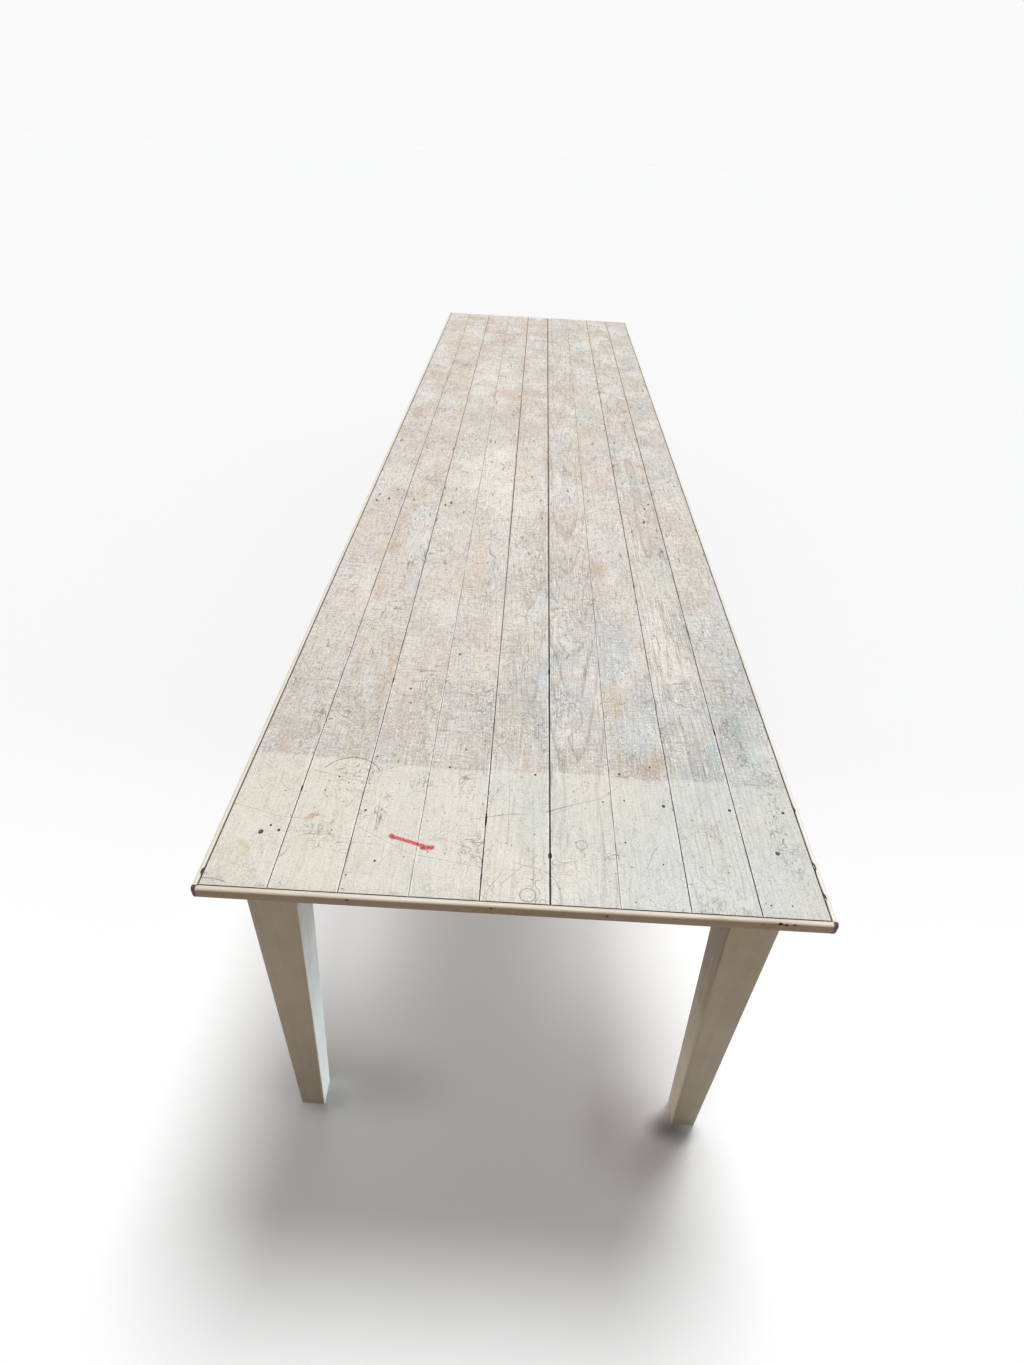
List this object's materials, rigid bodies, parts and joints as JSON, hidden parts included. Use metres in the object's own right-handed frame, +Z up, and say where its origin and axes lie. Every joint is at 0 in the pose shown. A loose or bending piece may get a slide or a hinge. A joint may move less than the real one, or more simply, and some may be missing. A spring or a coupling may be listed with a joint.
{
  "type": "refectory table",
  "caption": "Long boarded refectory table: a painted tongue-and-groove top with half-round edging on a pegged frame with tapered square legs.",
  "frame": {"origin": "on the floor, under the centre of the table", "axes": "+Z up, +Y along the table away from the end seen nearest in the picture, +X across it to the right"},
  "size_m": [0.912, 3.62, 0.76],
  "materials": {
    "top_paint": "worn cream paint on pine, bare underneath",
    "edging_paint": "worn cream paint on pine, chipped to dark wood",
    "frame_paint": "cream paint on pine, rubbed at the edges",
    "bare_pine": "sawn, aged and unpainted",
    "oak_peg": "riven oak, painted over",
    "iron_brad": "dull, lightly rusted"
  },
  "bodies": {
    "root": {"top_board_1": "top_paint", "top_board_2": "top_paint", "top_board_3": "top_paint", "top_board_4": "top_paint", "top_board_5": "top_paint", "top_board_6": "top_paint", "top_board_7": "top_paint", "top_board_8": "top_paint", "top_board_9": "top_paint", "edging_left": "edging_paint", "edging_right": "edging_paint", "edging_front": "edging_paint", "edging_back": "edging_paint", "leg_front_left": "frame_paint", "leg_front_right": "frame_paint", "leg_back_left": "frame_paint", "leg_back_right": "frame_paint", "rail_left": "frame_paint", "rail_right": "frame_paint", "rail_front": "frame_paint", "rail_back": "frame_paint", "bearer_1": "bare_pine", "bearer_2": "bare_pine", "bearer_3": "bare_pine", "bearer_4": "bare_pine", "bearer_5": "bare_pine", "joint_pegs": "oak_peg", "board_nails": "iron_brad", "edging_pins": "iron_brad"}
  },
  "joints": []
}
